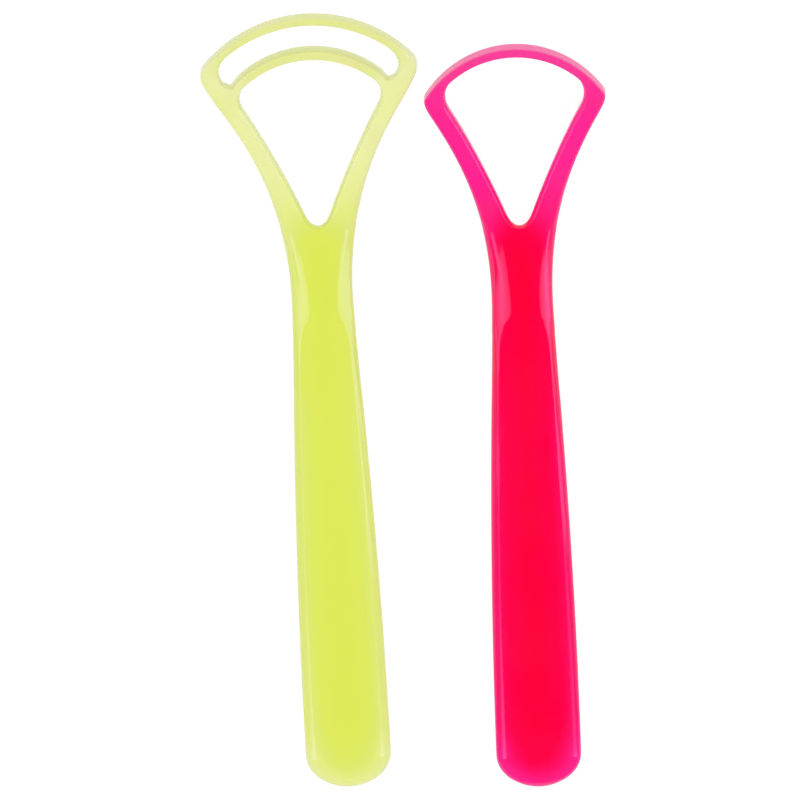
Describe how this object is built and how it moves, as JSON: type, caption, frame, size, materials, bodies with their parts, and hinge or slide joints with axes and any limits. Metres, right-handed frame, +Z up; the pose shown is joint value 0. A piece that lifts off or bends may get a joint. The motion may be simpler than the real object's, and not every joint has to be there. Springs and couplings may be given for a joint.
{
  "type": "tongue scraper",
  "caption": "Moulded plastic tongue scrapers lying as a pair: flat round-ended handles that rise into Y-shaped open heads, one closed by a single arched blade and the other by two.",
  "frame": {"origin": "on the table, under the middle of the pair's footprint", "axes": "+Y from the handles towards the scraping heads, +Z up out of the thumb panels, +X from the double-blade scraper to the single-blade one"},
  "size_m": [0.0914, 0.174, 0.0154],
  "materials": {
    "lime_plastic": "glossy, faintly translucent",
    "red_plastic": "glossy, faintly translucent"
  },
  "bodies": {
    "double_blade": {"double_blade_scraper": "lime_plastic"},
    "single_blade": {"single_blade_scraper": "red_plastic"}
  },
  "joints": [
    {"name": "single_blade_lift", "type": "slide", "parent": "double_blade", "child": "single_blade", "axis": [0, 0, 1], "range_m": [0, 0.05]}
  ]
}
